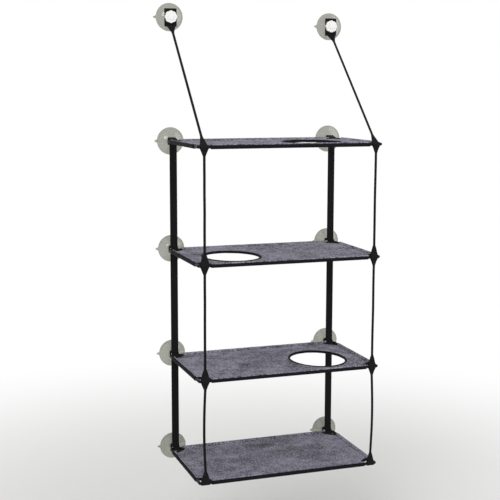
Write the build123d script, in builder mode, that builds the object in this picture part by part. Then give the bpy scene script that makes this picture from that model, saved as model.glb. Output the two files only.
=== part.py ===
"""Window mounted cat perch: four fabric shelves on bent steel frames, hung from ten suction cups.

The glass is the plane y = 0. +Y points into the glass, -Y into the room, +X to the right along the
window and +Z up. The origin lies on the glass, level with the top shelf and midway along it.
All lengths are in millimetres.
"""

import math
import os

from build123d import *

# Overall sizes of the perch
shelf_width = 610
shelf_depth = 356
shelf_drops = (358, 358, 326)
top_cup_rises = {"left": 400, "right": 380}
glass_gap = 38

# Steel frame of a shelf
tube_diameter = 9.5
tube_wall = 1.0
bend_radius = 5.0

# Sewn cover: nylon underside with four sleeves, fleece top and taped openings
sleeve_play = 0.3
sleeve_wall = 1.1
underside_thickness = 1.2
underside_drop = 2.0
fleece_thickness = 3.2
fleece_play = 0.2
fleece_wrap = 1.5
fleece_hem_height = 4.4
corner_notch_radius = 48
opening_width = 180
opening_depth = 214
opening_front_margin = 41
opening_offsets = (122, -150, 150)
tape_thickness = 1.2
tape_play = 0.1
tape_lap = 3.5

# Nylon webbing of the loops and straps
webbing_width = 25
webbing_thickness = 1.6
loop_play = 0.3
loop_side_gap = 0.4
strap_width = 8.5
strap_corner = 1.2
upper_flare_height = 38
upper_flare_middle = 19
lower_flare_height = 28
lower_flare_middle = 17
slack_bow = 4.0
hanger_flare_length = 46

# Suction cups and their studs
cup_diameter = 90
cup_contact_width = 9
cup_rim_thickness = 1.2
cup_bead_height = 2.2
cup_bead_width = 3.4
cup_dome_height = 9.5
cup_vacuum_depth = 3.2
cup_neck_radius = 17
cup_boss_radius = 13
cup_boss_height = 16
stud_radius = 3.0
stud_reach = 7.0
stud_hole_play = 0.3
pull_tab_length = 9.0
pull_tab_base_radius = 8.0
pull_tab_tip_radius = 2.5

# Nuts: a lobed knob on each top cup, a small fluted nut on each rear cup
nut_play = 0.08
nut_seat_gap = 0.3
knob_radius = 20
knob_lobes = 8
knob_lobe_radius = 9
knob_thickness = 9
knob_cap_radius = 9
knob_cap_height = 2.5
knob_cap_taper = 9
knob_fillet = 1.6
knob_dimple_radius = 1.7
knob_dimple_ring = 13
knob_dimple_depth = 0.8
rear_nut_radius = 8
rear_nut_flutes = 12
rear_nut_flute_radius = 1.1
rear_nut_thickness = 7.5
rear_nut_chamfer = 0.8

# Webbing tabs that hold the cups
rear_tab_half_height = 12.5
rear_tab_corner = 2.0
rear_strip_setback = 36
top_tab_width = 41
top_tab_above = 27
top_tab_below = 31
top_tab_corner = 2.0
gather_width = 30
gather_start = 24
gather_drop = 26

# Places worked out from the sizes above
tube_radius = tube_diameter / 2
sleeve_bore = tube_radius + sleeve_play
sleeve_radius = sleeve_bore + sleeve_wall
fleece_bore = sleeve_radius + fleece_play
rail_x = shelf_width / 2 - sleeve_radius
rear_rail_y = -(glass_gap + sleeve_radius)
front_rail_y = -(glass_gap + shelf_depth - sleeve_radius)
middle_y = (rear_rail_y + front_rail_y) / 2
rail_span = rear_rail_y - front_rail_y
underside_top = underside_thickness - underside_drop
fleece_top = underside_top + fleece_thickness
loop_bore = tube_radius + loop_play
loop_radius = loop_bore + webbing_thickness
strap_thickness = 2 * webbing_thickness
strap_x = rail_x - tube_radius - loop_side_gap - webbing_width / 2
opening_y = front_rail_y + opening_front_margin - sleeve_radius + opening_depth / 2
clamp_y = -cup_boss_height
nut_seat_y = clamp_y - webbing_thickness - nut_seat_gap
shelf_levels = [-sum(shelf_drops[:count]) for count in range(len(shelf_drops) + 1)]
sides = {"left": -1, "right": 1}

os.makedirs("parts", exist_ok=True)


def finish(built, name):
    """Label a finished piece and write its STEP file."""
    built.part.label = name
    export_step(built.part, f"parts/{name}.step")


def along_x(x, y, z):
    """Sketch plane square to a rail: its first axis is the row's Y and its second is Z."""
    return Plane(origin=(x, y, z), x_dir=(0, 1, 0), z_dir=(1, 0, 0))


def along_y(x, y, z):
    """Sketch plane square to a side tube: its first axis is the row's X and its second is -Z."""
    return Plane(origin=(x, y, z), x_dir=(1, 0, 0), z_dir=(0, 1, 0))


def rail_planes(level):
    """The four sides of a shelf, each with the plane square to its tube and half its length.

    The sign says on which side of the plane's first axis the middle of the shelf lies.
    """
    return [
        (along_x(0, front_rail_y, level), rail_x, 1),
        (along_x(0, rear_rail_y, level), rail_x, -1),
        (along_y(-rail_x, middle_y, level), rail_span / 2, 1),
        (along_y(rail_x, middle_y, level), rail_span / 2, -1),
    ]


def frame_tube(level):
    """Steel tube bent round four tight corners and welded into a ring, so it is hollow and closed."""
    with BuildPart() as frame:
        with BuildLine(Plane.XY.offset(level)) as half_ring:
            FilletPolyline(
                (0, rear_rail_y),
                (rail_x, rear_rail_y),
                (rail_x, front_rail_y),
                (0, front_rail_y),
                radius=bend_radius,
            )
        with BuildSketch(along_x(0, rear_rail_y, level)):
            Circle(tube_radius)
            Circle(tube_radius - tube_wall, mode=Mode.SUBTRACT)
        sweep(path=half_ring.wire())
        mirror(about=Plane.YZ)
    return frame


def cover_cutter(level, offset):
    """What is cut out of a cover: a quarter round at each corner, where the webbing passes round
    the bare tube, and the oval opening that a cat climbs through."""
    with BuildPart() as cutter:
        with BuildSketch(Plane.XY.offset(level)):
            for x_side in sides.values():
                for y_side in sides.values():
                    with Locations((x_side * shelf_width / 2, middle_y + y_side * shelf_depth / 2)):
                        Circle(corner_notch_radius)
            if offset is not None:
                with Locations((offset, opening_y)):
                    Ellipse(opening_width / 2, opening_depth / 2)
        extrude(amount=corner_notch_radius, both=True)
    return cutter.part


def shelf_underside(level, offset):
    """Black nylon: a flat underside joined to the four sleeves that the tube runs through."""
    with BuildPart() as cover:
        for plane, half_length, _ in rail_planes(level):
            with BuildSketch(plane):
                Circle(sleeve_radius)
            extrude(amount=half_length, both=True)
        with BuildSketch(Plane.XY.offset(level - underside_drop)):
            with Locations((0, middle_y)):
                Rectangle(2 * rail_x, rail_span)
        extrude(amount=underside_thickness)
        for plane, half_length, _ in rail_planes(level):
            with BuildSketch(plane):
                Circle(sleeve_bore)
            extrude(amount=half_length + sleeve_radius, both=True, mode=Mode.SUBTRACT)
        add(cover_cutter(level, offset), mode=Mode.SUBTRACT)
    return cover


def shelf_fleece(level, offset):
    """Fleece top: a pad that lies on the nylon and wraps over the sleeves to a hem on the outside."""
    with BuildPart() as fleece:
        with BuildSketch(Plane.XY.offset(level + underside_top)):
            with Locations((0, middle_y)):
                Rectangle(2 * rail_x, rail_span)
        extrude(amount=fleece_thickness)
        for plane, half_length, inward in rail_planes(level):
            upward = 1 if plane.y_dir.Z > 0 else -1
            with BuildSketch(plane):
                Circle(fleece_bore + fleece_wrap)
                for way, floor in ((inward, underside_top), (-inward, fleece_hem_height)):
                    with Locations((way * shelf_depth / 2, upward * (floor - shelf_depth / 2))):
                        Rectangle(shelf_depth, shelf_depth, mode=Mode.SUBTRACT)
            extrude(amount=half_length, both=True)
        for plane, half_length, _ in rail_planes(level):
            with BuildSketch(plane):
                Circle(fleece_bore)
            extrude(amount=half_length + sleeve_radius, both=True, mode=Mode.SUBTRACT)
        add(cover_cutter(level, offset), mode=Mode.SUBTRACT)
    return fleece


def opening_tape(level, offset):
    """Binding tape folded round the cut edge of an opening, over the fleece and under the nylon."""
    low = -underside_drop - tape_thickness
    high = fleece_top + tape_thickness
    with BuildPart() as tape:
        with BuildSketch(Plane.XY.offset(level + low)):
            with Locations((offset, opening_y)):
                Ellipse(opening_width / 2 + tape_lap, opening_depth / 2 + tape_lap)
                Ellipse(
                    opening_width / 2 - tape_play - tape_thickness,
                    opening_depth / 2 - tape_play - tape_thickness,
                    mode=Mode.SUBTRACT,
                )
        extrude(amount=high - low)
        with BuildSketch(Plane.XY.offset(level - underside_drop)):
            with Locations((offset, opening_y)):
                Ellipse(opening_width / 2 + 2 * tape_lap, opening_depth / 2 + 2 * tape_lap)
                Ellipse(
                    opening_width / 2 - tape_play,
                    opening_depth / 2 - tape_play,
                    mode=Mode.SUBTRACT,
                )
        extrude(amount=fleece_top + underside_drop, mode=Mode.SUBTRACT)
    return tape


def front_loop(side, level, has_upper, has_lower):
    """Webbing sewn round a front rail, gathered above and below into the narrow hanging straps, so
    that it has the outline of a leaf."""
    x = side * strap_x
    root = (loop_bore + loop_radius) / 2
    flares = []
    if has_upper:
        flares.append((root, upper_flare_height, upper_flare_middle))
    if has_lower:
        flares.append((-root, -lower_flare_height, lower_flare_middle))
    with BuildPart() as loop:
        with BuildSketch(along_x(x, front_rail_y, level)):
            Circle(loop_radius)
            Circle(loop_bore, mode=Mode.SUBTRACT)
        extrude(amount=webbing_width / 2, both=True)
        for start, end, middle_width in flares:
            foot, middle, tip = level + start, level + (start + end) / 2, level + end
            with BuildSketch(Plane.XZ.offset(-front_rail_y)):
                with BuildLine():
                    for edge in (-1, 1):
                        ThreePointArc(
                            (x + edge * webbing_width / 2, foot),
                            (x + edge * middle_width / 2, middle),
                            (x + edge * strap_width / 2, tip),
                        )
                    Line((x - webbing_width / 2, foot), (x + webbing_width / 2, foot))
                    Line((x - strap_width / 2, tip), (x + strap_width / 2, tip))
                make_face()
            extrude(amount=strap_thickness / 2, both=True)
    return loop


def front_strap_pair(upper_level, lower_level, bow):
    """Two narrow straps between the loops of one shelf and the next, bowed outward where slack."""
    top = upper_level - lower_flare_height
    foot = lower_level + upper_flare_height
    half = strap_width / 2
    with BuildPart() as pair:
        for side in sides.values():
            x = side * strap_x
            middle = (x + side * bow, (top + foot) / 2)
            with BuildSketch(Plane.XZ.offset(-front_rail_y)):
                with BuildLine():
                    for edge in (-half, half):
                        if bow:
                            ThreePointArc((x + edge, top), (middle[0] + edge, middle[1]), (x + edge, foot))
                        else:
                            Line((x + edge, top), (x + edge, foot))
                    for end in (top, foot):
                        Line((x - half, end), (x + half, end))
                make_face()
            extrude(amount=strap_thickness / 2, both=True)
        fillet(pair.edges().filter_by(lambda edge: edge.length > strap_width + strap_thickness), strap_corner)
    return pair


def rear_tab_outline(x, level, rail_circle, corner_circle, width):
    """Solid belt from the rear rail back to the clamp plane: its side view is a hull of three circles."""
    corner_y = clamp_y - rear_tab_corner
    corner_z = rear_tab_half_height - rear_tab_corner
    with BuildPart() as belt:
        with BuildSketch(along_x(x, 0, level)):
            with BuildLine():
                for z in (-corner_z, corner_z):
                    CenterArc((corner_y, z), corner_circle, 0, 360)
                CenterArc((rear_rail_y, 0), rail_circle, 0, 360)
            make_hull()
        extrude(amount=width / 2, both=True)
    return belt.part


def rear_tab(side, level):
    """Webbing loop round a rear rail whose flat back is clamped on the stud of a suction cup."""
    x = side * strap_x
    with BuildPart() as tab:
        add(rear_tab_outline(x, level, loop_radius, rear_tab_corner, webbing_width))
        inner_corner = rear_tab_corner - webbing_thickness
        add(
            rear_tab_outline(x, level, loop_bore, inner_corner, 2 * webbing_width),
            mode=Mode.SUBTRACT,
        )
        with BuildSketch(Plane.XZ.offset(-clamp_y)):
            with Locations((x, level)):
                Circle(stud_radius + stud_hole_play)
        extrude(amount=rear_tab_corner, mode=Mode.SUBTRACT)
    return tab


def rear_strip_pair(upper_level, lower_level):
    """Two flat webbing strips behind the rails, sewn to the tabs of one shelf and of the next."""
    with BuildPart() as pair:
        for side in sides.values():
            x = side * strap_x
            with BuildSketch(Plane.XY.offset(lower_level)):
                with Locations((x, -rear_strip_setback)):
                    Rectangle(webbing_width, webbing_thickness)
            extrude(amount=upper_level - lower_level)
            for level in (upper_level, lower_level):
                add(
                    rear_tab_outline(x, level, loop_radius, rear_tab_corner, 2 * webbing_width),
                    mode=Mode.SUBTRACT,
                )
    return pair


def upper_strap(side, rise):
    """Strap from a top cup down to the front rail: a flat tab on the stud, gathered into a narrow
    strap, which widens again where it is sewn to the top shelf's front loop."""
    x = side * strap_x
    tab_y = clamp_y - webbing_thickness / 2
    start = Vector(x, tab_y, rise - gather_start)
    rail = Vector(x, front_rail_y, 0)
    line = (rail - start).normalized()
    gather_length = gather_drop / abs(line.Z)
    foot = rail - line * (loop_radius + loop_play)
    flare = rail - line * hanger_flare_length
    sections = [
        (start, gather_width, webbing_thickness),
        (start + line * gather_length, strap_width, strap_thickness),
        (flare, strap_width, strap_thickness),
        (foot, webbing_width, strap_thickness),
    ]
    with BuildPart() as strap:
        for (near, wide_near, thick_near), (far, wide_far, thick_far) in zip(sections, sections[1:]):
            for place, width, thickness in ((near, wide_near, thick_near), (far, wide_far, thick_far)):
                with BuildSketch(Plane(origin=place, x_dir=(1, 0, 0), z_dir=line)):
                    Rectangle(width, thickness)
            loft(ruled=True)
        with BuildSketch(Plane.XZ.offset(-clamp_y)):
            with Locations((x, rise + (top_tab_above - top_tab_below) / 2)):
                RectangleRounded(top_tab_width, top_tab_above + top_tab_below, top_tab_corner)
            with Locations((x, rise)):
                Circle(stud_radius + stud_hole_play, mode=Mode.SUBTRACT)
        extrude(amount=webbing_thickness)
    return strap


def suction_cup(x, z, stud_end):
    """Clear moulded cup pressed on the glass, with its boss, its stud and a pull tab on the rim."""
    radius = cup_diameter / 2
    rise = cup_dome_height
    bead_inner = radius - cup_bead_width
    with BuildPart() as cup:
        with BuildSketch():
            with BuildLine():
                Polyline(
                    (0, -cup_vacuum_depth),
                    (0, -stud_end),
                    (stud_radius, -stud_end),
                    (stud_radius, -cup_boss_height),
                    (cup_boss_radius, -cup_boss_height),
                    (cup_boss_radius, -rise),
                    (cup_neck_radius, -rise),
                )
                middle = (cup_neck_radius + bead_inner) / 2
                slope = (rise + cup_rim_thickness) / 2
                ThreePointArc(
                    (cup_neck_radius, -rise),
                    (middle, -slope + cup_rim_thickness),
                    (bead_inner, -cup_rim_thickness),
                )
                Polyline(
                    (bead_inner, -cup_rim_thickness),
                    (bead_inner, -cup_bead_height),
                    (radius, -cup_bead_height),
                    (radius, 0),
                    (radius - cup_contact_width, 0),
                )
                ThreePointArc(
                    (radius - cup_contact_width, 0),
                    ((radius - cup_contact_width) / 2, -cup_vacuum_depth * 3 / 4),
                    (0, -cup_vacuum_depth),
                )
            make_face()
        revolve(axis=Axis.Y)
        tip = radius + pull_tab_length - pull_tab_tip_radius
        with BuildSketch(Plane.XZ):
            with BuildLine():
                CenterArc((-(radius - pull_tab_base_radius), 0), pull_tab_base_radius, 0, 360)
                CenterArc((-tip, 0), pull_tab_tip_radius, 0, 360)
            make_hull()
        extrude(amount=cup_rim_thickness)
    with BuildPart() as placed:
        with Locations((x, 0, z)):
            add(cup.part)
    return placed


def knob_nut(x, z):
    """White lobed hand nut with a raised cap, a ring of dimples and a blind bore for the stud."""
    with BuildPart() as nut:
        with BuildSketch(Plane.XZ.offset(-nut_seat_y)):
            Circle(knob_radius - knob_lobe_radius / 2)
            with PolarLocations(knob_radius - knob_lobe_radius, knob_lobes):
                Circle(knob_lobe_radius)
        extrude(amount=knob_thickness)
        fillet(nut.faces().sort_by(Axis.Y)[0].edges(), knob_fillet)
        with BuildSketch(Plane.XZ.offset(-nut_seat_y + knob_thickness)):
            Circle(knob_cap_radius)
        extrude(amount=knob_cap_height, taper=knob_cap_taper)
        with BuildSketch(Plane.XZ.offset(-nut_seat_y + knob_thickness)):
            with PolarLocations(knob_dimple_ring, knob_lobes):
                Circle(knob_dimple_radius)
        extrude(amount=-knob_dimple_depth, mode=Mode.SUBTRACT)
        with BuildSketch(Plane.XZ.offset(-nut_seat_y)):
            Circle(stud_radius + nut_play)
        extrude(amount=stud_reach + nut_seat_gap, mode=Mode.SUBTRACT)
    with BuildPart() as placed:
        with Locations((x, 0, z)):
            add(nut.part)
    return placed


def rear_nut(x, z):
    """Small fluted nut that clamps a rear tab against its cup."""
    with BuildPart() as nut:
        with BuildSketch(Plane.XZ.offset(-nut_seat_y)):
            Circle(rear_nut_radius)
            with PolarLocations(rear_nut_radius, rear_nut_flutes):
                Circle(rear_nut_flute_radius, mode=Mode.SUBTRACT)
        extrude(amount=rear_nut_thickness)
        chamfer(nut.faces().sort_by(Axis.Y)[0].edges(), rear_nut_chamfer)
        with BuildSketch(Plane.XZ.offset(-nut_seat_y)):
            Circle(stud_radius + nut_play)
        extrude(amount=stud_reach, mode=Mode.SUBTRACT)
    with BuildPart() as placed:
        with Locations((x, 0, z)):
            add(nut.part)
    return placed


# Shelves, from the top down: the lowest one has no opening
for index, level in enumerate(shelf_levels):
    number = index + 1
    offset = opening_offsets[index] if index < len(opening_offsets) else None
    finish(frame_tube(level), f"frame_{number}")
    finish(shelf_underside(level, offset), f"underside_{number}")
    finish(shelf_fleece(level, offset), f"fleece_{number}")
    if offset is not None:
        finish(opening_tape(level, offset), f"opening_tape_{number}")

# Front loops at every corner, and the narrow straps that hang each shelf from the one above
for index, level in enumerate(shelf_levels):
    for side_name, side in sides.items():
        loop = front_loop(side, level, index > 0, index < len(shelf_drops))
        finish(loop, f"front_loop_{index + 1}_{side_name}")
for index, (upper, lower) in enumerate(zip(shelf_levels, shelf_levels[1:])):
    bow = slack_bow if index == len(shelf_drops) - 1 else 0
    finish(front_strap_pair(upper, lower, bow), f"front_straps_{index + 1}")
    finish(rear_strip_pair(upper, lower), f"rear_strips_{index + 1}")

# Cups, tabs and nuts behind the rear rails
stud_end = cup_boss_height + webbing_thickness + stud_reach
for index, level in enumerate(shelf_levels):
    for side_name, side in sides.items():
        place = f"{index + 1}_{side_name}"
        finish(suction_cup(side * strap_x, level, stud_end), f"suction_cup_{place}")
        finish(rear_tab(side, level), f"rear_tab_{place}")
        finish(rear_nut(side * strap_x, level), f"rear_nut_{place}")

# Top cups, their knobs and the straps that hold up the front of the top shelf
for side_name, side in sides.items():
    rise = top_cup_rises[side_name]
    finish(suction_cup(side * strap_x, rise, stud_end), f"suction_cup_top_{side_name}")
    finish(knob_nut(side * strap_x, rise), f"knob_nut_{side_name}")
    finish(upper_strap(side, rise), f"upper_strap_{side_name}")
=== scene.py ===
"""Window mounted cat perch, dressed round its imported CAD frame: shelves in fleece and black nylon,
webbing straps and tabs, clear suction cups and white nuts, in a plain pale studio."""

import math

import bmesh
import bpy
from mathutils import Matrix, Vector, geometry, noise


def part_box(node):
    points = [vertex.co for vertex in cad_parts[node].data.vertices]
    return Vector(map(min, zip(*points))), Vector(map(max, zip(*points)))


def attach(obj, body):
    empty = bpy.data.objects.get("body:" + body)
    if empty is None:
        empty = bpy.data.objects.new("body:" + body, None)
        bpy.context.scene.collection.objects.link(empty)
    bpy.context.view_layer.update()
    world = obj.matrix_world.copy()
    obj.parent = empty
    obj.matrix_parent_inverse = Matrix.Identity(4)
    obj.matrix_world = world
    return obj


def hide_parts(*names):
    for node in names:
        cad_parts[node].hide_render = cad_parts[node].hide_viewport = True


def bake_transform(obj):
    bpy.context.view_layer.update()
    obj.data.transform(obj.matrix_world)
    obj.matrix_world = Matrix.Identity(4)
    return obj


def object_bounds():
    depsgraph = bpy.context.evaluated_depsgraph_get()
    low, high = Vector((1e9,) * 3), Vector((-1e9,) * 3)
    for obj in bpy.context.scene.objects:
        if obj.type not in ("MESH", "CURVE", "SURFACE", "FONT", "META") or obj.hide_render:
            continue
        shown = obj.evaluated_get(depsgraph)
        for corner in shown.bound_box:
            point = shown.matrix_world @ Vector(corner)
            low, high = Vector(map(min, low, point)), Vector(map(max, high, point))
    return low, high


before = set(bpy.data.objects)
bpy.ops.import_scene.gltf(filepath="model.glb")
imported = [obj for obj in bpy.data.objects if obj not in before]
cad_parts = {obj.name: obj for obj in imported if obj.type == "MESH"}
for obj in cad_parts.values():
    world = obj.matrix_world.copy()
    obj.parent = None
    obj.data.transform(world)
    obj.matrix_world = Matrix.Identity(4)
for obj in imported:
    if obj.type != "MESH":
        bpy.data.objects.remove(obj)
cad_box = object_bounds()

mm = 0.001


# Camera
# It stands where the photograph was taken from: in the room, to the left of the perch and a little
# above its top shelf, looking slightly down through a long lens.
camera_place = Vector((-1222.3, -3503.5, 179.8)) * mm
camera_yaw = math.radians(19.21)
camera_pitch = math.radians(-8.54)
camera_roll = math.radians(-0.12)
camera_lens = 78.67

camera = bpy.data.objects.new("camera", bpy.data.cameras.new("camera"))
camera.data.sensor_width = 36
camera.data.lens = camera_lens
camera.data.clip_end = 50
turn = Matrix.Rotation(-camera_yaw, 4, "Z") @ Matrix.Rotation(math.radians(90) + camera_pitch, 4, "X")
camera.matrix_world = Matrix.Translation(camera_place) @ turn @ Matrix.Rotation(-camera_roll, 4, "Z")
bpy.context.scene.collection.objects.link(camera)
bpy.context.scene.camera = camera


# Steel frames
# Each shelf has a ring of round steel tube, bent at the corners and powder coated black. It shows only
# at the four corners, where the cover is cut back. The coating is satin with a faint orange peel.
sharp_angle = math.radians(35)
tube_low, tube_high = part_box("frame_1")
tube_radius = (tube_high.z - tube_low.z) / 2
rail_x = tube_high.x - tube_radius
rear_y = tube_high.y - tube_radius
front_y = tube_low.y + tube_radius
shelf_numbers = (1, 2, 3, 4)
levels = {n: (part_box(f"frame_{n}")[0].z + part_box(f"frame_{n}")[1].z) / 2 for n in shelf_numbers}


def linear(code):
    """An sRGB hex colour as Blender's linear RGBA."""
    channels = [int(code[i:i + 2], 16) / 255 for i in (1, 3, 5)]
    return [c / 12.92 if c <= 0.04045 else ((c + 0.055) / 1.055) ** 2.4 for c in channels] + [1]


def connect(tree, node, sources):
    """Links inputs of a node to their sources, each a node and the name of its output."""
    for name, (source, output) in sources.items():
        tree.links.new(source.outputs[output], node.inputs[name])


def add_node(tree, kind, settings=None, sources=None):
    """Adds a node, with its properties or socket values, and connects its inputs to other nodes."""
    node = tree.nodes.new(kind)
    for name, value in (settings or {}).items():
        if isinstance(name, str) and hasattr(node, name):
            setattr(node, name, value)
        else:
            node.inputs[name].default_value = value
    connect(tree, node, sources or {})
    return node


def new_material(name, **sockets):
    """A material with one Principled shader; returns it with its tree and its shader."""
    material = bpy.data.materials.new(name)
    material.use_nodes = True
    shader = material.node_tree.nodes["Principled BSDF"]
    for socket, value in sockets.items():
        shader.inputs[socket.replace("_", " ")].default_value = value
    return material, material.node_tree, shader


def powder_coated_steel():
    """Black polyester powder baked on steel: even, satin, with a faint orange peel."""
    peel_size = 2.5 * mm
    material, tree, shader = new_material(
        "powder_coated_steel", Base_Color=linear("#08080a"), Specular_IOR_Level=0.1
    )
    place = add_node(tree, "ShaderNodeTexCoord")
    peel = add_node(
        tree, "ShaderNodeTexNoise", {"Scale": 1 / peel_size, "Detail": 2}, {"Vector": (place, "Object")}
    )
    wear = add_node(
        tree,
        "ShaderNodeMapRange",
        {"From Min": 0.35, "From Max": 0.75, "To Min": 0.35, "To Max": 0.5},
        {"Value": (peel, "Fac")},
    )
    bump = add_node(
        tree, "ShaderNodeBump", {"Strength": 0.25, "Distance": 0.1 * mm}, {"Height": (peel, "Fac")}
    )
    connect(tree, shader, {"Roughness": (wear, "Result"), "Normal": (bump, "Normal")})
    return material


def finish_cad_node(name, material):
    """Gives a CAD node its material and smooth shading, with its edges kept crisp."""
    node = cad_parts[name]
    node.data.materials.clear()
    node.data.materials.append(material)
    node.data.polygons.foreach_set("use_smooth", [True] * len(node.data.polygons))
    node.data.set_sharp_from_angle(angle=sharp_angle)


steel = powder_coated_steel()
for n in shelf_numbers:
    finish_cad_node(f"frame_{n}", steel)


# Nylon undersides
# The cover of a shelf is cut from black nylon oxford cloth: one panel under the fleece, with a sleeve
# along each side that the tube runs through. The panel is sewn along the inside of the sleeves.
cover_thickness = 0.9 * mm
sleeve_radius = 6.5 * mm
sleeve_tuck = 0.9 * mm
sleeve_foot_angle = 230
sleeve_turn = 261
sleeve_steps = 24
bag_height = 0.35 * mm
bag_waves_along = 45
bag_waves_round = 220
seam_inset = 9.8 * mm
seam_lap = 2 * mm
seam_drop = 1.1 * mm
seam_rise = 0.1 * mm
panel_drop = 1.4 * mm
pucker_height = 0.5 * mm
pucker_waves = 14
notch_radius = 45 * mm
corner_steps = 12
panel_oval_steps = 96
pattern_step = 5 * mm
shelf_half_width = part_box("underside_1")[1].x
shelf_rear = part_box("underside_1")[1].y
shelf_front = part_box("underside_1")[0].y
shelf_middle = (shelf_rear + shelf_front) / 2
tape_reach = 3.5 * mm
wave_scale = math.pi / 10  # a wave texture of this scale has its bands 1 m apart
openings = {}
for n in (1, 2, 3):
    tape_low, tape_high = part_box(f"opening_tape_{n}")
    openings[n] = ((tape_low + tape_high) / 2, (tape_high - tape_low) / 2 - Vector((tape_reach,) * 3))


def mesh_piece(name, points, faces, material, uvs=None, smooth=True):
    """Makes a mesh object from points and faces, with UVs in metres, one pair for each point."""
    mesh = bpy.data.meshes.new(name)
    mesh.from_pydata([tuple(p) for p in points], [], faces)
    if uvs:
        layer = mesh.uv_layers.new(name="metres")
        for loop in mesh.loops:
            layer.data[loop.index].uv = uvs[loop.vertex_index]
    mesh.polygons.foreach_set("use_smooth", [smooth] * len(mesh.polygons))
    mesh.materials.append(material)
    mesh.validate()
    piece = bpy.data.objects.new(name, mesh)
    bpy.context.scene.collection.objects.link(piece)
    return piece


def thicken(piece, thickness, offset):
    """Gives a sheet its thickness, with a rim, and leaves it as plain mesh."""
    solidify = piece.modifiers.new("thickness", "SOLIDIFY")
    solidify.thickness = thickness
    solidify.offset = offset
    evaluated = piece.evaluated_get(bpy.context.evaluated_depsgraph_get())
    piece.data = bpy.data.meshes.new_from_object(evaluated)
    piece.modifiers.clear()
    return piece


def join(name, pieces):
    """Joins meshes of one material into one piece of that name."""
    whole = bmesh.new()
    for piece in pieces:
        whole.from_mesh(piece.data)
    mesh = bpy.data.meshes.new(name)
    whole.to_mesh(mesh)
    whole.free()
    mesh.materials.append(pieces[0].data.materials[0])
    for piece in pieces:
        bpy.data.objects.remove(piece)
    joined = bpy.data.objects.new(name, mesh)
    bpy.context.scene.collection.objects.link(joined)
    return joined


def oxford_cloth():
    """Nylon oxford cloth, woven black: a fine basket weave, matt with a slight sheen. The weave is
    drawn at 1.6 mm, coarser than the real 0.6 mm, so that it shows."""
    weave_step = 1.6 * mm
    dye_cloud = 45.5 * mm
    material, tree, shader = new_material("black_oxford_cloth", Roughness=0.8, Specular_IOR_Level=0.12)
    place = add_node(tree, "ShaderNodeTexCoord")
    bands = [
        add_node(
            tree,
            "ShaderNodeTexWave",
            {"bands_direction": way, "Scale": wave_scale / weave_step, "Distortion": 0.4},
            {"Vector": (place, "Object")},
        )
        for way in ("X", "Y")
    ]
    weave = add_node(
        tree, "ShaderNodeMath", {"operation": "MAXIMUM"}, {0: (bands[0], "Fac"), 1: (bands[1], "Fac")}
    )
    cloudy = add_node(
        tree, "ShaderNodeTexNoise", {"Scale": 1 / dye_cloud, "Detail": 3}, {"Vector": (place, "Object")}
    )
    tone = add_node(
        tree,
        "ShaderNodeMix",
        {"data_type": "RGBA", 6: linear("#08080a"), 7: linear("#151518")},
        {0: (cloudy, "Fac")},
    )
    bump = add_node(
        tree, "ShaderNodeBump", {"Strength": 0.4, "Distance": 0.2 * mm}, {"Height": (weave, "Value")}
    )
    connect(tree, shader, {"Base Color": (tone, "Result"), "Normal": (bump, "Normal")})
    return material


def oval(centre, half, count):
    """Points round an oval opening, anticlockwise."""
    turns = [2 * math.pi * i / count for i in range(count)]
    return [Vector((centre.x + half.x * math.cos(t), centre.y + half.y * math.sin(t))) for t in turns]


def notched_outline(low, high, notch, inset=0):
    """A rectangle, set in from low and high, less an oval centred on each corner, anticlockwise."""
    corners = [(low.x, low.y, 90), (high.x, low.y, 180), (high.x, high.y, 270), (low.x, high.y, 0)]
    skipped = math.degrees(math.asin(inset / notch.x))
    points = []
    for x, y, start in corners:
        for i in range(corner_steps + 1):
            t = math.radians(start - skipped - (90 - 2 * skipped) * i / corner_steps)
            points.append(Vector((x + notch.x * math.cos(t), y + notch.y * math.sin(t))))
    return points


def ripple(x, y, waves, seed):
    """Smooth unevenness over a cloth, between -1 and 1, with about that many waves to the metre."""
    return noise.noise(Vector((x * waves, y * waves, seed)))


def split_edges(points, step):
    """The closed outline with points added, so that its sides are about a step long or shorter."""
    result = []
    for a, b in zip(points, points[1:] + points[:1]):
        count = max(1, round((b - a).length / step))
        result += [a.lerp(b, i / count) for i in range(count)]
    return result


def inside(point, outline):
    """Whether a point lies inside a closed outline."""
    crossings = 0
    for a, b in zip(outline, outline[1:] + outline[:1]):
        if (a.y > point.y) != (b.y > point.y):
            if point.x < a.x + (point.y - a.y) / (b.y - a.y) * (b.x - a.x):
                crossings += 1
    return crossings % 2 == 1


def turning(a, b, c):
    """Twice the area of a triangle, above zero if it runs anticlockwise."""
    return (b[0] - a[0]) * (c[1] - a[1]) - (b[1] - a[1]) * (c[0] - a[0])


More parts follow.
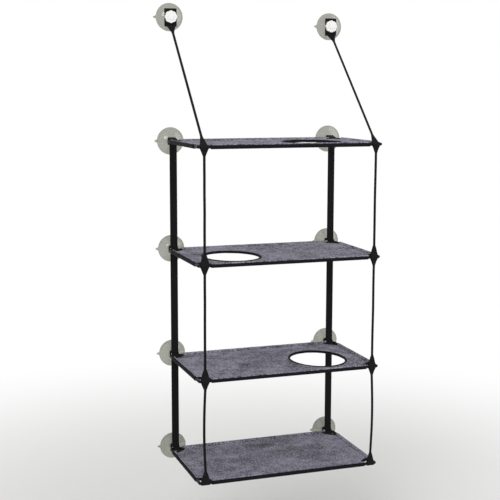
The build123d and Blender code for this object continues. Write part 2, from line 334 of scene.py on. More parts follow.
def filled_sheet(outline, hole, across, along, clear):
    """Triangles that fill an outline, less its hole, through a lattice of points. Returns points and
    faces. Lattice points nearer to an edge than clear are left out, and so are slivers."""
    merge_distance = 1e-7
    least_turning = 0.001 * mm * mm
    cell = clear * 2
    loops = [split_edges(outline, cell)] + ([hole] if hole else [])
    points, edges = [], []
    for loop in loops:
        first = len(points)
        points += loop
        edges += [(first + i, first + (i + 1) % len(loop)) for i in range(len(loop))]

    def covered(p):
        return inside(p, outline) and not (hole and inside(p, hole))

    near = {}
    for p in points:
        near.setdefault((int(p.x // cell), int(p.y // cell)), []).append(p)
    for x in across:
        for y in along:
            p = Vector((x, y))
            key = (int(x // cell), int(y // cell))
            cells = [(key[0] + i, key[1] + j) for i in (-1, 0, 1) for j in (-1, 0, 1)]
            if any((p - q).length < clear for c in cells for q in near.get(c, ())):
                continue
            if covered(p):
                points.append(p)
    found, _, triangles = geometry.delaunay_2d_cdt(points, edges, [], 0, merge_distance)[:3]
    faces = []
    for face in triangles:
        middle = sum((found[i] for i in face), Vector((0, 0))) / len(face)
        turned = turning(*(found[i] for i in face))
        if covered(middle) and abs(turned) > least_turning:
            faces.append(tuple(face) if turned > 0 else tuple(reversed(face)))
    return found, faces


def spaced(low, high, step):
    """Evenly spaced values from low to high, about a step apart."""
    count = max(1, round((high - low) / step))
    return [low + (high - low) * i / count for i in range(count + 1)]


def underside_panel(n, material):
    """The flat panel, cut back at the corners and round the opening, with a few soft puckers."""
    low = Vector((-shelf_half_width, shelf_front))
    high = Vector((shelf_half_width, shelf_rear))
    inset = shelf_half_width - rail_x + seam_inset - seam_lap / 2
    outline = notched_outline(low, high, Vector((notch_radius, notch_radius)), inset)
    hole = oval(*openings[n], panel_oval_steps) if n in openings else None
    across = spaced(low.x, high.x, 2 * pattern_step)
    along = spaced(low.y, high.y, 2 * pattern_step)
    flat, faces = filled_sheet(outline, hole, across, along, pattern_step)
    points = []
    for p in flat:
        pucker = ripple(p.x, p.y, pucker_waves, n * 7.3) * pucker_height
        points.append((p.x, p.y, levels[n] - panel_drop + pucker))
    panel = mesh_piece(f"underside_panel_{n}", points, faces, material, [tuple(p) for p in flat])
    return thicken(panel, cover_thickness, -1)


def sleeve_section():
    """A sleeve's section, as (inward, up) from the tube's axis: from its seam under the panel, round
    the tube's outside and down to its seam on the panel. It lies closer to the tube under the fleece."""
    points = [Vector((seam_inset + seam_lap, -panel_drop - seam_drop))]
    for i in range(sleeve_steps + 1):
        t = math.radians(sleeve_foot_angle + sleeve_turn * i / sleeve_steps)
        reach = sleeve_radius - sleeve_tuck * max(0, math.sin(t))
        points.append(Vector((-math.cos(t), math.sin(t))) * reach)
    return points + [Vector((seam_inset, -panel_drop + seam_rise))]


def strip_faces(rows, columns, closed=False):
    """Quads between the rows of a grid of points, back to the first row if it is closed."""
    faces = []
    for j in range(rows if closed else rows - 1):
        for i in range(columns - 1):
            a, b = j * columns + i, (j + 1) % rows * columns + i
            faces.append((a, a + 1, b + 1, b))
    return faces


def sleeve(n, profile, start, end, inward, material):
    """One sleeve of that section, a little baggy on the outside of the tube."""
    direction = (end - start).normalized()
    stations = spaced(0, (end - start).length, pattern_step)
    seed = n * 3 + start.x * 10 + start.y * 30
    travelled = [0]
    for a, b in zip(profile, profile[1:]):
        travelled.append(travelled[-1] + (b - a).length)
    points, uvs = [], []
    for s in stations:
        for i, p in enumerate(profile):
            bag = noise.noise(Vector((s * bag_waves_along, p.x * bag_waves_round, seed))) * bag_height
            q = p + p.normalized() * bag * max(0, -p.x / sleeve_radius)
            points.append(start + direction * s + inward * q.x + Vector((0, 0, q.y)))
            uvs.append((travelled[i], s))
    faces = strip_faces(len(stations), len(profile))
    return thicken(mesh_piece("sleeve", points, faces, material, uvs), cover_thickness, 0)


oxford = oxford_cloth()
profile = sleeve_section()
reach_x = shelf_half_width - notch_radius
reach_y = (shelf_rear - shelf_front) / 2 - notch_radius
undersides = {}
for n in shelf_numbers:
    z = levels[n]
    sleeves = []
    for side in (-1, 1):
        start = Vector((side * rail_x, shelf_middle - reach_y, z))
        end = Vector((side * rail_x, shelf_middle + reach_y, z))
        sleeves.append(sleeve(n, profile, start, end, Vector((-side, 0, 0)), oxford))
    for y, inward in ((front_y, 1), (rear_y, -1)):
        start, end = Vector((-reach_x, y, z)), Vector((reach_x, y, z))
        sleeves.append(sleeve(n, profile, start, end, Vector((0, inward, 0)), oxford))
    undersides[n] = join(f"underside_cloth_{n}", [underside_panel(n, oxford)] + sleeves)
    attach(undersides[n], f"shelf_{n}")
    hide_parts(f"underside_{n}")


# Fleece tops
# The shelf is topped with brushed polyester fleece in heathered grey. It lies on the nylon, is sewn
# down along the sleeves and wraps over them to a hem, which lies on top of the side rails and further
# down the front and rear ones.
fleece_radius = 8.0 * mm
fleece_cloth = 2.1 * mm
fleece_rise = 2.4 * mm
front_hem_angles = {1: 52, 2: 45, 3: 50, 4: 72}
side_hem_angles = {1: 86, 2: 96, 3: 94, 4: 88}
seat_angle = math.radians(162)
groove_depth = 1.6 * mm
groove_width = 2.6 * mm
groove_inset = 2.2 * mm
pile_height = 0.45 * mm
pile_waves = 260
ease_height = 1.1 * mm
ease_waves = 11
ease_reach = 25 * mm
least_ease = 0.15
wrap_step = 2.4 * mm
groove_rows = [k * mm for k in (1.5, 3, 5, 8, 12)]
edge_step = 1.1 * mm
oval_steps = 120
seat_offset = -math.cos(seat_angle) * fleece_radius


def brushed_fleece():
    """Polyester fleece, knitted and brushed: dyed grey fibres mixed with dark ones, so the pile is
    finely speckled, with soft lighter and darker patches where the nap has been stroked."""
    pile_clump = 5.5 * mm
    nap_patch = 30 * mm
    worn_patch = 110 * mm
    clump_weight = 1.6
    patch_weight = 0.5
    material, tree, shader = new_material(
        "brushed_grey_fleece", Roughness=0.95, Sheen_Weight=0.08, Specular_IOR_Level=0.1
    )
    place = add_node(tree, "ShaderNodeTexCoord")
    clumps, nap, worn = (
        add_node(
            tree,
            "ShaderNodeTexNoise",
            {"Scale": 1 / size, "Detail": detail, "Roughness": 0.6, "Distortion": bend},
            {"Vector": (place, "Object")},
        )
        for size, detail, bend in ((pile_clump, 3, 0), (nap_patch, 2, 0.4), (worn_patch, 2, 0.8))
    )
    fine = add_node(
        tree, "ShaderNodeMath", {"operation": "MULTIPLY", 1: clump_weight}, {0: (clumps, "Fac")}
    )
    stroked = add_node(
        tree,
        "ShaderNodeMath",
        {"operation": "MULTIPLY_ADD", 1: patch_weight},
        {0: (nap, "Fac"), 2: (fine, "Value")},
    )
    mottled = add_node(
        tree,
        "ShaderNodeMath",
        {"operation": "MULTIPLY_ADD", 1: patch_weight},
        {0: (worn, "Fac"), 2: (stroked, "Value")},
    )
    shade = add_node(
        tree, "ShaderNodeMapRange", {"From Min": 1.00, "From Max": 1.60}, {"Value": (mottled, "Value")}
    )
    colour = add_node(
        tree,
        "ShaderNodeMix",
        {"data_type": "RGBA", 6: linear("#1a1a22"), 7: linear("#a8a6b7")},
        {0: (shade, "Result")},
    )
    bump = add_node(
        tree, "ShaderNodeBump", {"Strength": 0.6, "Distance": 1.2 * mm}, {"Height": (stroked, "Value")}
    )
    connect(tree, shader, {"Base Color": (colour, "Result"), "Normal": (bump, "Normal")})
    return material


def wrapped(distance, wrap_length):
    """Where cloth lies that far in from the hem: how far outside the rail's axis, and how high."""
    if distance < wrap_length:
        angle = seat_angle - (wrap_length - distance) / fleece_radius
        return math.cos(angle) * fleece_radius, math.sin(angle) * fleece_radius
    inset = distance - wrap_length
    groove = groove_depth * math.exp(-((inset - groove_inset) / groove_width) ** 2)
    return -seat_offset - inset, fleece_rise - groove


def edge_lattice(length, wrap_length):
    """Lattice values from hem to hem: close together over the rails, wider on the flat."""
    fine = spaced(0, wrap_length, wrap_step) + [wrap_length + row for row in groove_rows]
    flat = spaced(fine[-1], length - fine[-1], pattern_step)
    return fine + flat[1:-1] + [length - value for value in reversed(fine)]


def fleece_top(n, material):
    """Fleece cut flat, notched at the corners and holed, then laid over the shelf and its rails.
    Returns it with the size and the area of the cut."""
    side_wrap = (seat_angle - math.radians(side_hem_angles[n])) * fleece_radius
    front_wrap = (seat_angle - math.radians(front_hem_angles[n])) * fleece_radius
    flat_notch = notch_radius - sleeve_radius - seat_offset
    width = 2 * (rail_x - seat_offset + side_wrap)
    depth = rear_y - front_y + 2 * (front_wrap - seat_offset)
    notch = Vector((flat_notch + side_wrap, flat_notch + front_wrap))
    outline = notched_outline(Vector((0, 0)), Vector((width, depth)), notch)
    hole = None
    if n in openings:
        centre, half = openings[n]
        on_cloth = Vector((centre.x + width / 2, centre.y - shelf_middle + depth / 2))
        hole = oval(on_cloth, half, oval_steps)
    across = edge_lattice(width, side_wrap)
    along = edge_lattice(depth, front_wrap)
    flat, faces = filled_sheet(outline, hole, across, along, edge_step)
    points = []
    for p in flat:
        left, right = wrapped(p.x, side_wrap), wrapped(width - p.x, side_wrap)
        front, rear = wrapped(p.y, front_wrap), wrapped(depth - p.y, front_wrap)
        x = -rail_x - left[0] if p.x < width / 2 else rail_x + right[0]
        y = front_y - front[0] if p.y < depth / 2 else rear_y + rear[0]
        height = fleece_rise + sum(side[1] - fleece_rise for side in (left, right, front, rear))
        pile = ripple(x, y, pile_waves, n * 5.1) * pile_height
        ease = ripple(x, y, ease_waves, n * 9.7) * ease_height
        from_rail = min(min(p.x, width - p.x) - side_wrap, min(p.y, depth - p.y) - front_wrap)
        loose = min(1, max(least_ease, (from_rail - groove_inset) / ease_reach))
        points.append((x, y, levels[n] + height + (pile + ease) * loose))
    cloth = mesh_piece(f"fleece_cloth_{n}", points, faces, material, [tuple(p) for p in flat])
    area = sum(geometry.area_tri(*(flat[i] for i in face)) for face in faces)
    return thicken(cloth, fleece_cloth, -1), (width, depth), area


fleece_material = brushed_fleece()
fleeces, fleece_cuts = {}, {}
for n in shelf_numbers:
    fleeces[n], *fleece_cuts[n] = fleece_top(n, fleece_material)
    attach(fleeces[n], f"shelf_{n}")
    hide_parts(f"fleece_{n}")


# Binding tape
# The cut edges of the cover, round the openings and at the corner notches, are bound with black woven
# tape folded over them and sewn through. The tape shows as a thin black rim.
rim_lap = 4.5 * mm
notch_lap = 8 * mm
tape_cloth = 0.7 * mm
tape_top = 4.2 * mm
tape_foot = -3.2 * mm
notch_tape_share = 0.13
notch_tape_step = 0.06
tape_ripple = 0.35 * mm
tape_waves = 60
tape_girth_step = 1.4 * mm


def woven_tape():
    """Grosgrain tape: fine cross ribs, black, matt. The ribs are drawn at 1.5 mm so that they show."""
    rib = 1.5 * mm
    material, tree, shader = new_material(
        "black_woven_tape", Base_Color=linear("#0c0c0e"), Roughness=0.85, Specular_IOR_Level=0.12
    )
    place = add_node(tree, "ShaderNodeUVMap", {"uv_map": "metres"})
    ribs = add_node(
        tree,
        "ShaderNodeTexWave",
        {"bands_direction": "Y", "Scale": wave_scale / rib, "Distortion": 0.3},
        {"Vector": (place, "UV")},
    )
    bump = add_node(
        tree, "ShaderNodeBump", {"Strength": 0.5, "Distance": 0.25 * mm}, {"Height": (ribs, "Fac")}
    )
    connect(tree, shader, {"Normal": (bump, "Normal")})
    return material


def folded_tape(n, edge, into_cloth, lap, closed, material):
    """Tape folded over a cut edge: a lap on the fleece, a wall down the edge and a lap under it."""
    wall = tape_cloth + 0.5 * mm
    profile = [
        (lap, tape_top - 1.6 * mm),
        (lap / 2, tape_top - 0.3 * mm),
        (0, tape_top),
        (-wall * 0.8, tape_top - 1.2 * mm),
        (-wall, 0),
        (-wall * 0.8, tape_foot + 1.4 * mm),
        (0, tape_foot + 0.5 * mm),
        (lap / 2, tape_foot),
        (lap, tape_foot + 0.3 * mm),
    ]
    travelled = 0
    points, uvs = [], []
    for k, (p, inward) in enumerate(zip(edge, into_cloth)):
        travelled += (p - edge[k - 1]).length if k else 0
        uneven = ripple(p.x, p.y, tape_waves, n * 4.4) * tape_ripple
        for i, (reach, rise) in enumerate(profile):
            q = p + inward * (reach + uneven)
            points.append((q.x, q.y, levels[n] + rise + uneven))
            uvs.append((i * tape_girth_step, travelled))
    faces = strip_faces(len(edge), len(profile), closed)
    return thicken(mesh_piece("tape", points, faces, material, uvs), tape_cloth, -1)


tape_material = woven_tape()
for n in shelf_numbers:
    if n in openings:
        centre, half = openings[n]
        edge = oval(centre, half, oval_steps)
        slopes = [((p.x - centre.x) / half.x ** 2, (p.y - centre.y) / half.y ** 2) for p in edge]
        outward = [Vector(slope).normalized() for slope in slopes]
        rim = folded_tape(n, edge, outward, rim_lap, True, tape_material)
        rim.name = f"opening_tape_rim_{n}"
        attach(rim, f"shelf_{n}")
        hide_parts(f"opening_tape_{n}")
    corner_tapes = []
    for side_x in (-1, 1):
        for side_y, edge_y in ((-1, shelf_front), (1, shelf_rear)):
            corner = Vector((side_x * shelf_half_width, edge_y))
            shares = spaced(notch_tape_share, 1 - notch_tape_share, notch_tape_step)
            turns = [math.pi / 2 * share for share in shares]
            ways = [Vector((-side_x * math.cos(t), -side_y * math.sin(t))) for t in turns]
            edge = [corner + way * notch_radius for way in ways]
            if side_x * side_y < 0:
                edge.reverse()
                ways.reverse()
            corner_tapes.append(folded_tape(n, edge, ways, notch_lap, False, tape_material))
    corner_tape = join(f"corner_tape_{n}", corner_tapes)
    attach(corner_tape, f"shelf_{n}")


# Sewing
# Black polyester thread: a row of lock stitches beside each rail, where the fleece is sewn through to
# the sleeve seam. Each stitch is a short raised dash, drawn a little thicker than the real thread.
stitch_length = 3.4 * mm
stitch_gap = 1.6 * mm
stitch_taper = 0.2
thread_radius = 0.38 * mm


def sewing_thread():
    """Bonded polyester thread: black, with a slight gloss."""
    return new_material(
        "black_polyester_thread", Base_Color=linear("#131316"), Roughness=0.5, Specular_IOR_Level=0.2
    )[0]


def stitches(name, rows, material):
    """Stitches along rows of (start, end, outward), as one mesh of small pointed dashes."""
    points, faces = [], []
    for start, end, outward in rows:
        length = (end - start).length
        along = (end - start).normalized()
        across = along.cross(outward).normalized()
        count = max(1, int(length / (stitch_length + stitch_gap)))
        for i in range(count):
            a = start + along * ((i + 0.5) * length / count - stitch_length / 2)
            first = len(points)
            points.append(a)
            for share in (stitch_taper, 1 - stitch_taper):
                middle = a + along * stitch_length * share
                for turn in range(4):
                    angle = math.pi / 2 * turn
                    way = across * math.cos(angle) + outward * math.sin(angle)
                    points.append(middle + way * thread_radius)
            points.append(a + along * stitch_length)
            for turn in range(4):
                here, after = first + 1 + turn, first + 1 + (turn + 1) % 4
                faces.append((first, after, here))
                faces.append((here, after, after + 4, here + 4))
                faces.append((here + 4, after + 4, first + 9))
    return mesh_piece(name, points, faces, material)


thread = sewing_thread()
thread_stand = 0.5 * mm
up = Vector((0, 0, 1))
seam_offset = seat_offset + groove_inset
for n in shelf_numbers:
    z = levels[n] + fleece_rise - groove_depth + thread_stand
    row_x = reach_x - notch_lap
    row_y = reach_y - notch_lap
    rows = []
    for y in (front_y + seam_offset, rear_y - seam_offset):
        rows.append((Vector((-row_x, y, z)), Vector((row_x, y, z)), up))
    for x in (-rail_x + seam_offset, rail_x - seam_offset):
        rows.append((Vector((x, shelf_middle - row_y, z)), Vector((x, shelf_middle + row_y, z)), up))
    rail_stitches = stitches(f"rail_stitches_{n}", rows, thread)
    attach(rail_stitches, f"shelf_{n}")


# Front loops
# At each front corner black nylon webbing is sewn into a loop round the rail, and its ends are folded
# and gathered into the narrow strap above or below, so that it has the outline of a leaf.
webbing_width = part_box("rear_tab_1_left")[1].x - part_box("rear_tab_1_left")[0].x
webbing_thickness = 1.6 * mm
loop_middle = tube_radius + 1.1 * mm
pinch_height = 13 * mm
pinch_radius = 0.85 * mm
loop_swell = {"left": 1.10, "right": 0.98}
upper_fullness = 1.8
lower_fullness = 1.3
roll_height = 0.5 * mm
roll_place = 0.84
roll_share = 0.16
crease_depth = 0.7 * mm
crease_share = 0.22
flare_overlap = 1.5 * mm
flare_step = 2 * mm
gather_swell = 0.2
belt_step = 1.6 * mm
circle_steps = 64
edge_round = 0.4
edge_taper = 0.2
tack_rows = (1.0 * mm, 3.2 * mm)
tack_stand = 1.75 * mm
tack_share = 0.32
sides = {"left": -1, "right": 1}
sideways = Vector((1, 0, 0))
forward = Vector((0, -1, 0))


def nylon_webbing():
    """Nylon webbing, woven black: raised ribs that run in a herringbone across it, matt with a dull
    sheen. The ribs are drawn at 2.4 mm, coarser than the real 1.2 mm, so that they show."""
    rib = 2.4 * mm
    material, tree, shader = new_material("black_nylon_webbing", Roughness=0.75, Specular_IOR_Level=0.12)
    place = add_node(tree, "ShaderNodeUVMap", {"uv_map": "metres"})
    parts = add_node(tree, "ShaderNodeSeparateXYZ", sources={"Vector": (place, "UV")})
    fold = add_node(tree, "ShaderNodeMath", {"operation": "ABSOLUTE"}, {0: (parts, "X")})
    slant = add_node(tree, "ShaderNodeMath", {"operation": "ADD"}, {0: (fold, "Value"), 1: (parts, "Y")})
    turns = add_node(
        tree, "ShaderNodeMath", {"operation": "MULTIPLY", 1: 2 * math.pi / rib}, {0: (slant, "Value")}
    )
    ribs = add_node(tree, "ShaderNodeMath", {"operation": "SINE"}, {0: (turns, "Value")})
    # Painted shade and painted light: the colour follows the ribs, darker in the grooves between them
    # and lighter on their tops, though the yarn is one even black.
    tone = add_node(
        tree, "ShaderNodeMapRange", {"From Min": -1, "From Max": 1}, {"Value": (ribs, "Value")}
    )
    colour = add_node(
        tree,
        "ShaderNodeMix",
        {"data_type": "RGBA", 6: linear("#08080a"), 7: linear("#1a191c")},
        {0: (tone, "Result")},
    )
    bump = add_node(
        tree, "ShaderNodeBump", {"Strength": 0.5, "Distance": 0.3 * mm}, {"Height": (ribs, "Value")}
    )
    connect(tree, shader, {"Base Color": (colour, "Result"), "Normal": (bump, "Normal")})
    return material


def band(name, stations, material, closed=False, columns=13):
    """Webbing swept through stations of (centre, across, outward, width, thickness, wave), where wave
    gives how far each face stands out at a share of its half width."""
    shares = [1 - 2 * i / (columns - 1) for i in range(columns)]
    ring = 2 * columns + 2
    travelled = 0
    points, uvs, faces = [], [], []
    for k, (centre, across, outward, width, thickness, wave) in enumerate(stations):
        travelled += (centre - stations[k - 1][0]).length if k else 0
        edge = min(thickness * edge_round, width * edge_taper)
        flat = width / 2 - edge
        section = [(share * flat, 1, share) for share in shares] + [(-width / 2, 0, -1)]
        section += [(share * flat, -1, share) for share in reversed(shares)] + [(width / 2, 0, 1)]
        for reach, face, share in section:
            stand = wave(share, face) if wave else 0
            points.append(centre + across * reach + outward * (face * thickness / 2 + stand))
            uvs.append((reach, travelled))
    count = len(stations)
    for k in range(count if closed else count - 1):
        for i in range(ring):
            a, b = k * ring, (k + 1) % count * ring
            faces.append((a + i, b + i, b + (i + 1) % ring, a + (i + 1) % ring))
    if not closed:
        faces.append(tuple(reversed(range(ring))))
        faces.append(tuple((count - 1) * ring + i for i in range(ring)))
    piece = mesh_piece(name, points, faces, material, uvs)
    whole = bmesh.new()
    whole.from_mesh(piece.data)
    bmesh.ops.recalc_face_normals(whole, faces=whole.faces)
    whole.to_mesh(piece.data)
    whole.free()
    return piece


def belt(circles, step):
    """The closed path of a belt drawn tight round circles of (centre, radius), in steps of that size."""
    turns = [2 * math.pi * i / circle_steps for i in range(circle_steps)]
    dots = sorted((c.x + r * math.cos(t), c.y + r * math.sin(t)) for c, r in circles for t in turns)

    def half_hull(ordered):
        chain = []
        for p in ordered:
            while len(chain) > 1 and turning(chain[-2], chain[-1], p) <= 0:
                chain.pop()
            chain.append(p)
        return chain[:-1]

    corners = [Vector(p) for p in half_hull(dots) + half_hull(reversed(dots))]
    return split_edges(corners, step)


def belt_stations(path, x, width_at):
    """Stations for webbing that follows a closed path in the (y, z) plane, with its width across x."""
    stations = []
    count = len(path)
    for k, p in enumerate(path):
        along = (path[(k + 1) % count] - path[k - 1]).normalized()
        outward = Vector((0, along.y, -along.x))
        stations.append((Vector((x, p.x, p.y)), sideways, outward, width_at(p), webbing_thickness, None))
    return stations


def folded_edges(roll, crease):
    """Webbing folded in from both sides: thick rolled edges and a fold line down the middle."""

    def wave(share, face):
        rolled = roll * math.exp(-(((abs(share) - roll_place) / roll_share) ** 2))
        return face * (rolled - crease * math.exp(-((share / crease_share) ** 2)))

    return wave


def leaf_width(height, reach, fullness, full_width):
    """Width of the leaf that a loop and its gathered end make, that high above or below the rail."""
    share = min(1, abs(height) / reach)
    return strap_width + (full_width - strap_width) * (1 - share ** fullness)


def flare(x, level, way, reach, fullness, full_width, material):
    """Both layers of the loop's webbing, folded and gathered from full width to the strap's width."""
    stations = []
    for height in spaced(pinch_height - flare_overlap, reach, flare_step):
        share = height / reach
        centre = Vector((x, front_y, level + way * height))
        width = leaf_width(height, reach, fullness, full_width)
        thickness = 2 * webbing_thickness * (1 + gather_swell * math.sin(math.pi * share))
        wave = folded_edges(roll_height, crease_depth * share)
        stations.append((centre, sideways, forward, width, thickness, wave))
    return band("flare", stations, material)


webbing = nylon_webbing()
strap_low, strap_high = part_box("front_straps_1")
strap_depth = strap_high.y - strap_low.y
strap_width = 8.5 * mm
strap_x = (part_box("front_loop_1_right")[0].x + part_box("front_loop_1_right")[1].x) / 2
for n in shelf_numbers:
    for side_name, side in sides.items():
        node = f"front_loop_{n}_{side_name}"
        low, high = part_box(node)
        x = side * strap_x
        rail = Vector((front_y, levels[n]))
        circles = [(rail, loop_middle)]
        full_width = webbing_width * loop_swell[side_name]
        ends = []
        for tip, fullness in ((high.z, upper_fullness), (low.z, lower_fullness)):
            reach = tip - levels[n]
            if abs(reach) > pinch_height:
                ends.append((math.copysign(1, reach), abs(reach), fullness))
        for way, reach, fullness in ends:
            circles.append((rail + Vector((0, way * pinch_height)), pinch_radius))

        def width_at(p):
            height = p.y - rail.y
            for way, reach, fullness in ends:
                if height * way > 0:
                    return leaf_width(height, reach, fullness, full_width)
            return full_width

        path = belt(circles, belt_step)
        loop = band("loop", belt_stations(path, x, width_at), webbing, closed=True)
        flares = [flare(x, levels[n], *end, full_width, webbing) for end in ends]
        whole_loop = join(f"webbing_{node}", [loop] + flares)
        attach(whole_loop, "front_straps")
        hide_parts(node)
        rows = []
        half = webbing_width * tack_share
        for way, *_ in ends:
            for face in (-1, 1):
                for lift in tack_rows:
                    z = levels[n] + way * (pinch_height + lift)
                    y = front_y + face * tack_stand
                    rows.append((Vector((x - half, y, z)), Vector((x + half, y, z)), -face * forward))
        loop_stitches = stitches(f"bar_tack_{n}_{side_name}", rows, thread)
        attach(loop_stitches, "front_straps")


# Front straps
# Between the loops the webbing is folded lengthways and sewn into a strap 8.5 mm wide, which hangs
# each shelf's front from the one above. The lowest pair is slack enough to bow outwards a little.
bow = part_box("front_straps_3")[1].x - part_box("front_straps_1")[1].x
bowed_pair = 3
drift_reach = 0.8 * mm
station_share = 0.03
for n in (1, 2, 3):
    low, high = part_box(f"front_straps_{n}")
    for side_name, side in sides.items():
        stations = []
        for s in spaced(0, 1, station_share):
            middle = math.sin(math.pi * s)
            slack = bow * middle if n == bowed_pair else 0
            drift = noise.noise(Vector((s * 3.1, n * 2.7, side))) * drift_reach * middle
            centre = Vector((side * (strap_x + slack) + drift, front_y, high.z + (low.z - high.z) * s))
            wave = folded_edges(0, crease_depth)
            stations.append((centre, sideways, forward, strap_width, strap_depth, wave))
        strap = band(f"front_strap_{n}_{side_name}", stations, webbing)
        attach(strap, "front_straps")
        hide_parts(f"front_straps_{n}")
        rows = []
        for face in (-1, 1):
            for (a, *_), (b, *_) in zip(stations, stations[1:]):
                outward = Vector((0, face, 0))
                lift = outward * strap_depth / 2
                rows.append((a + lift, b + lift, outward))
        strap_stitches = stitches(f"strap_stitches_{n}_{side_name}", rows, thread)
        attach(strap_stitches, "front_straps")


# Rear tabs and rear straps
# A belt of the same webbing goes round each rear rail and back to a suction cup, whose stud passes
# through it. Two flat straps run down the window behind the rails and are lapped on these belts.
tab_corner_radius = 1.2 * mm
tab_step = 1.8 * mm
run_step = 12 * mm
seam_edge = 2.5 * mm
strip_setback = (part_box("rear_strips_1")[0].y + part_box("rear_strips_1")[1].y) / 2
lap_length = 9 * mm
for n in shelf_numbers:
    for side_name, side in sides.items():
        node = f"rear_tab_{n}_{side_name}"
        low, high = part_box(node)
        x = side * strap_x
        back = high.y - webbing_thickness / 2 - tab_corner_radius
        top = high.z - webbing_thickness / 2 - tab_corner_radius
        foot = low.z + webbing_thickness / 2 + tab_corner_radius
        circles = [
            (Vector((rear_y, levels[n])), loop_middle),
            (Vector((back, top)), tab_corner_radius),
            (Vector((back, foot)), tab_corner_radius),
        ]
        path = belt(circles, tab_step)
        stations = belt_stations(path, x, lambda p: webbing_width)
        tab = band(f"webbing_{node}", stations, webbing, closed=True)
        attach(tab, "root")
        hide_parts(node)

for n in (1, 2, 3):
    low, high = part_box(f"rear_strips_{n}")
    for side_name, side in sides.items():
        x = side * strap_x
        heights = spaced(high.z - lap_length, low.z + lap_length, run_step)
        run = [Vector((strip_setback, z)) for z in heights]
        foot_of_tab = levels[n] - loop_middle
        top_lap = [
            Vector((rear_y - 1.0 * mm, foot_of_tab - 2.0 * mm)),
            Vector((rear_y + 3.0 * mm, foot_of_tab - 2.6 * mm)),
            Vector((strip_setback - 1.6 * mm, foot_of_tab - 5.6 * mm)),
        ]
        foot_lap = [Vector((p.x, levels[n] + levels[n + 1] - p.y)) for p in reversed(top_lap)]
        path = top_lap + run + foot_lap
        stations = []
        for k, p in enumerate(path):
            along = (path[min(k + 1, len(path) - 1)] - path[max(k - 1, 0)]).normalized()
            outward = Vector((0, along.y, -along.x))
            centre = Vector((x, p.x, p.y))
            stations.append((centre, sideways, outward, webbing_width, webbing_thickness, None))
        strip = band(f"rear_strap_{n}_{side_name}", stations, webbing)
        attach(strip, "root")
        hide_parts(f"rear_strips_{n}")
        rows = []
        front = strip_setback - webbing_thickness / 2
        for inset in (seam_edge, webbing_width - seam_edge):
            edge = x - webbing_width / 2 + inset
            rows.append((Vector((edge, front, high.z)), Vector((edge, front, low.z)), forward))
        strip_stitches = stitches(f"rear_strap_stitches_{n}_{side_name}", rows, thread)
        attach(strip_stitches, "root")


# Upper straps
# The strap from each top cup starts as a flat tab that the stud passes through. It is gathered in
# pleats into the narrow strap, slants down to the front rail and widens again where it is sewn on.
tab_width = 41 * mm
tab_length = 58 * mm
tab_corner = 2 * mm
gather_width = 37 * mm
gather_below = 24 * mm
gather_length = 42 * mm
hanger_flare = 36 * mm
gather_power = 1.3
flare_power = 1.1
hanger_gap = 0.9 * mm
hanger_step = 4 * mm
pleat_depth = 1.1 * mm
pleat_count = 3
tab_shares = (0, 0.006, 0.015, 0.034, 0.2, 0.4, 0.6, 0.8, 0.966, 0.985, 0.994, 1)


def cup_tab(x, y, top, foot, material):
    """The flat tab on a top cup: a piece of wide webbing with rounded corners."""
    stations = []
    length = top - foot
    for share in tab_shares:
        short = max(0, tab_corner - min(share, 1 - share) * length)
        width = tab_width - 2 * (tab_corner - math.sqrt(tab_corner ** 2 - short ** 2))
        place = Vector((x, y, top - length * share))
        stations.append((place, sideways, forward, width, webbing_thickness, None))
    return band("tab", stations, material)


def hanger_section(travelled, total):
    """Width, thickness and pleats of an upper strap, that far from where it leaves its tab."""
    gathered = travelled / gather_length
    if gathered < 1:
        width = strap_width + (gather_width - strap_width) * (1 - gathered) ** gather_power
        return width, webbing_thickness * (1 + gathered), pleat_depth * math.sin(math.pi * gathered)
    remaining = max(0, 1 - (total - travelled) / hanger_flare)
    width = strap_width + (webbing_width - strap_width) * remaining ** flare_power
    return width, 2 * webbing_thickness, 0


def pleats(depth):
    """Webbing gathered in pleats that run along it."""
    return lambda share, face: depth * math.cos(pleat_count * math.pi * share)


for side_name, side in sides.items():
    node = f"upper_strap_{side_name}"
    low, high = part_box(node)
    cup_low, cup_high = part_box(f"suction_cup_top_{side_name}")
    x = side * strap_x
    stud_z = (cup_low.z + cup_high.z) / 2
    tab_y = high.y - webbing_thickness / 2
    tab = cup_tab(x, tab_y, high.z, high.z - tab_length, webbing)
    start = Vector((tab_y - webbing_thickness, stud_z - gather_below))
    rail = Vector((front_y, levels[1]))
    line = (rail - start).normalized()
    end = rail - line * (loop_middle + hanger_gap)
    straight = (end - start).length
    outward = Vector((0, line.y, -line.x))
    stations = []
    for travelled in spaced(0, straight, hanger_step):
        width, thickness, pleated = hanger_section(travelled, straight)
        p = start + line * travelled
        wave = pleats(pleated) if pleated else folded_edges(0, crease_depth)
        stations.append((Vector((x, p.x, p.y)), sideways, outward, width, thickness, wave))
    strap = band("strap", stations, webbing, columns=17)
    hanger = join(f"webbing_{node}", [tab, strap])
    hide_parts(node)
    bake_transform(hanger)


# Suction cups
# Each cup is moulded in one piece from clear soft PVC, slightly cloudy and tinted grey, with a thin lip
# that seals on the glass, a shallow dome, a stiff boss and stud, and a pull tab on the rim.
def clear_pvc():
    """Soft PVC, injection moulded: glossy and see-through, with a faint uneven haze."""
    haze_patch = 11.1 * mm
    material, tree, shader = new_material(
        "clear_soft_pvc", Base_Color=linear("#a9aaa0"), IOR=1.5, Transmission_Weight=0.86
    )
    place = add_node(tree, "ShaderNodeTexCoord")
    haze = add_node(
        tree, "ShaderNodeTexNoise", {"Scale": 1 / haze_patch, "Detail": 2}, {"Vector": (place, "Object")}
    )
    bump = add_node(
        tree, "ShaderNodeBump", {"Strength": 0.06, "Distance": 0.4 * mm}, {"Height": (haze, "Fac")}
    )
    cloudy = add_node(
        tree,
        "ShaderNodeMapRange",
        {"From Min": 0.3, "From Max": 0.7, "To Min": 0.03, "To Max": 0.09},
        {"Value": (haze, "Fac")},
    )
    connect(tree, shader, {"Roughness": (cloudy, "Result"), "Normal": (bump, "Normal")})
    return material


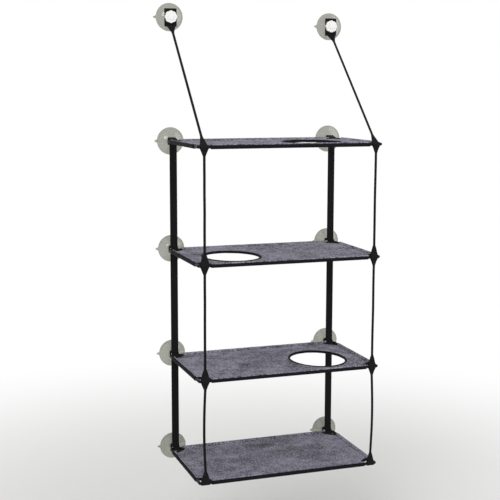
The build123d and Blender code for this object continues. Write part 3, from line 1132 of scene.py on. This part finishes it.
pvc = clear_pvc()
shelf_cups = [f"{n}_{side_name}" for n in shelf_numbers for side_name in sides]
top_cups = [f"top_{side_name}" for side_name in sides]
for place in shelf_cups + top_cups:
    finish_cad_node(f"suction_cup_{place}", pvc)


# Nuts
# The hand nuts are moulded from white ABS, satin with softly rounded edges: a lobed knob on each top
# cup, and a small fluted nut on each rear cup.
def white_abs():
    """ABS, injection moulded white: satin, with a faint moulding texture."""
    grain = 1.2 * mm
    material, tree, shader = new_material(
        "moulded_white_abs", Base_Color=linear("#e9e8e6"), Roughness=0.34, IOR=1.5
    )
    place = add_node(tree, "ShaderNodeTexCoord")
    texture = add_node(
        tree, "ShaderNodeTexNoise", {"Scale": 1 / grain, "Detail": 1}, {"Vector": (place, "Object")}
    )
    bump = add_node(
        tree, "ShaderNodeBump", {"Strength": 0.12, "Distance": 0.1 * mm}, {"Height": (texture, "Fac")}
    )
    connect(tree, shader, {"Normal": (bump, "Normal")})
    return material


abs_plastic = white_abs()
for place in shelf_cups:
    finish_cad_node(f"rear_nut_{place}", abs_plastic)
for side_name in sides:
    finish_cad_node(f"knob_nut_{side_name}", abs_plastic)


# Studio
# A plain pale floor under a white surround, with one large soft lamp from the front left, a weaker one
# from the right and one from above.
floor_gap = 0.30
floor_z = cad_box[0].z - floor_gap
fade_start = 0.5
fade_end = 2.6


def plain_floor():
    """Matt pale paint under the perch, which fades into the white surround further away."""
    material, tree, shader = new_material(
        "matt_floor_paint", Base_Color=linear("#f0f0ee"), Roughness=0.9
    )
    place = add_node(tree, "ShaderNodeTexCoord")
    distance = add_node(tree, "ShaderNodeVectorMath", {"operation": "LENGTH"}, {0: (place, "Object")})
    far = add_node(
        tree,
        "ShaderNodeMapRange",
        {"interpolation_type": "SMOOTHSTEP", "From Min": fade_start, "From Max": fade_end},
        {"Value": (distance, "Value")},
    )
    white = add_node(tree, "ShaderNodeEmission", {"Color": linear("#ffffff"), "Strength": 1.0})
    blend = add_node(
        tree,
        "ShaderNodeMixShader",
        sources={0: (far, "Result"), 1: (shader, "BSDF"), 2: (white, "Emission")},
    )
    connect(tree, tree.nodes["Material Output"], {"Surface": (blend, "Shader")})
    return material


floor_size = 14
floor = mesh_piece(
    "floor",
    [(x * floor_size, y * floor_size, 0) for x, y in ((-1, -1), (1, -1), (1, 1), (-1, 1))],
    [(0, 1, 2, 3)],
    plain_floor(),
    smooth=False,
)
floor.location.z = floor_z

world = bpy.data.worlds.new("surround")
world.use_nodes = True
bpy.context.scene.world = world
tree = world.node_tree
sky = tree.nodes["Background"]
rays = add_node(tree, "ShaderNodeLightPath")
through = add_node(
    tree,
    "ShaderNodeMath",
    {"operation": "MAXIMUM"},
    {0: (rays, "Is Transmission Ray"), 1: (rays, "Is Glossy Ray")},
)
seen = add_node(
    tree, "ShaderNodeMath", {"operation": "MAXIMUM"}, {0: (rays, "Is Camera Ray"), 1: (through, "Value")}
)
strength = add_node(
    tree, "ShaderNodeMapRange", {"To Min": 0.55, "To Max": 1.0}, {"Value": (seen, "Value")}
)
sky.inputs["Color"].default_value = linear("#ffffff")
connect(tree, sky, {"Strength": (strength, "Result")})


perch_middle = Vector((0, -0.2, -0.35))


def soft_lamp(name, place, size, power):
    """A square softbox that faces the middle of the perch."""
    lamp = bpy.data.objects.new(name, bpy.data.lights.new(name, "AREA"))
    lamp.data.size = size
    lamp.data.energy = power
    lamp.location = place
    lamp.rotation_euler = (perch_middle - Vector(place)).to_track_quat("-Z", "Y").to_euler()
    bpy.context.scene.collection.objects.link(lamp)


soft_lamp("key_lamp", (-2.6, -3.2, 2.2), 2.2, 92)
soft_lamp("fill_lamp", (3.0, -2.4, 0.8), 2.5, 36)
soft_lamp("top_lamp", (0.3, 0.6, 3.0), 2.5, 10)

bpy.context.scene.view_settings.view_transform = "Standard"
